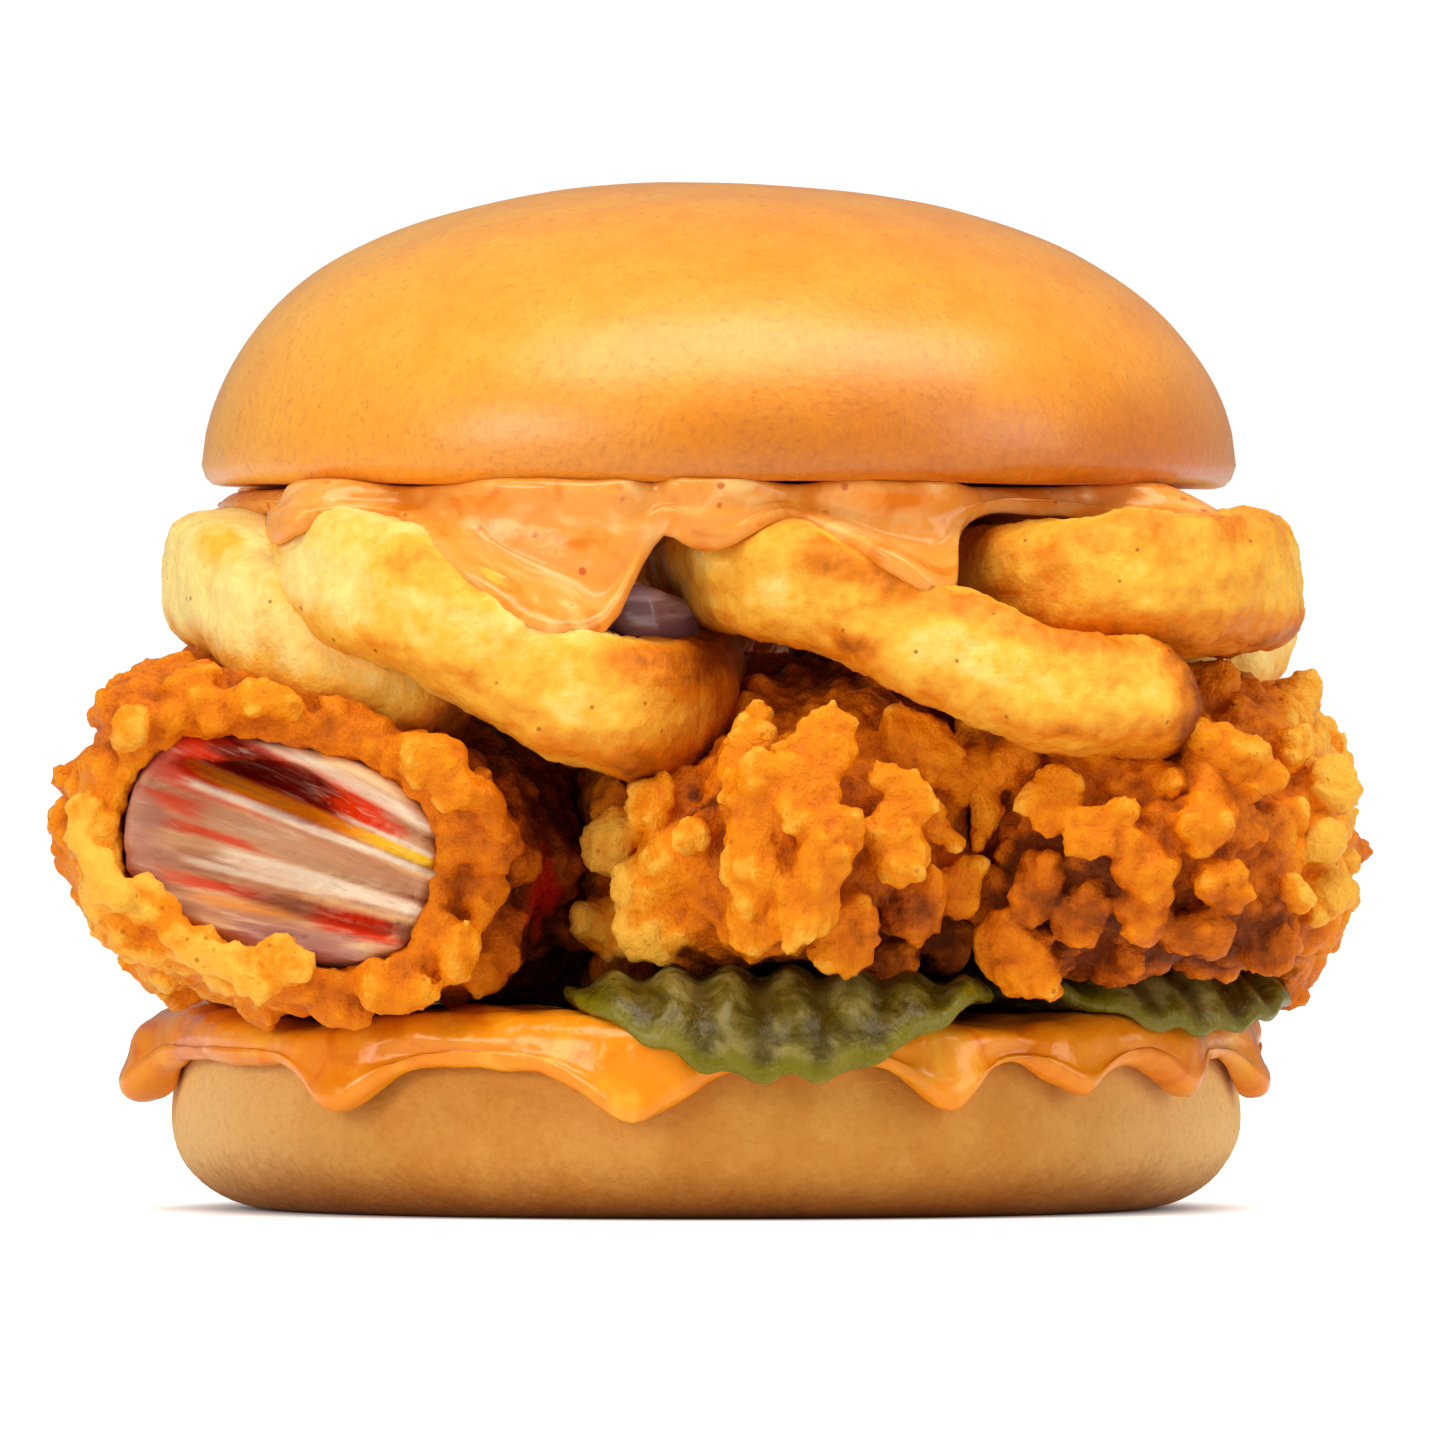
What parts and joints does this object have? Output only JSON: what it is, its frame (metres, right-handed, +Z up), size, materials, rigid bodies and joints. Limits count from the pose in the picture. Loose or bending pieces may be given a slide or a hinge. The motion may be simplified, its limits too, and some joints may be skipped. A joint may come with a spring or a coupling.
{
  "type": "chicken burger",
  "caption": "Fried chicken burger in a round glossy bun, with pickle chips, two creamy sauces and curled fries, the left piece torn open.",
  "frame": {"origin": "centre of the bun heel's flat base", "axes": "+Z up, +X to the right across the front along the row of chicken pieces, -Y towards the front where the torn piece shows"},
  "size_m": [0.1316, 0.1161, 0.1026],
  "materials": {
    "bun_crust": "satin glazed crust",
    "bun_heel": "matt baked crumb with fine pores",
    "lower_sauce": "wet and smooth",
    "upper_sauce": "wet, with fine flecks",
    "pickle": "wet, crinkle cut",
    "chicken_coating": "crisp, craggy and flaked",
    "chicken_meat": "moist, fibrous",
    "potato": "grainy, browned at its edges",
    "onion": "moist and smooth"
  },
  "bodies": {
    "root": {"bun_heel": "bun_heel", "sauce_lower": "lower_sauce", "pickle_left": "pickle", "pickle_right": "pickle", "pickle_back": "pickle", "chicken_left_coating": "chicken_coating", "chicken_left_meat": "chicken_meat", "chicken_middle": "chicken_coating", "chicken_right": "chicken_coating", "fry_right": "potato", "fry_centre": "potato", "fry_left_inner": "potato", "fry_left_outer": "potato", "fry_back_left": "potato", "fry_back_centre": "potato", "fry_back_right": "potato", "onion_strip": "onion", "sauce_upper": "upper_sauce", "bun_crown": "bun_crust"}
  },
  "joints": []
}
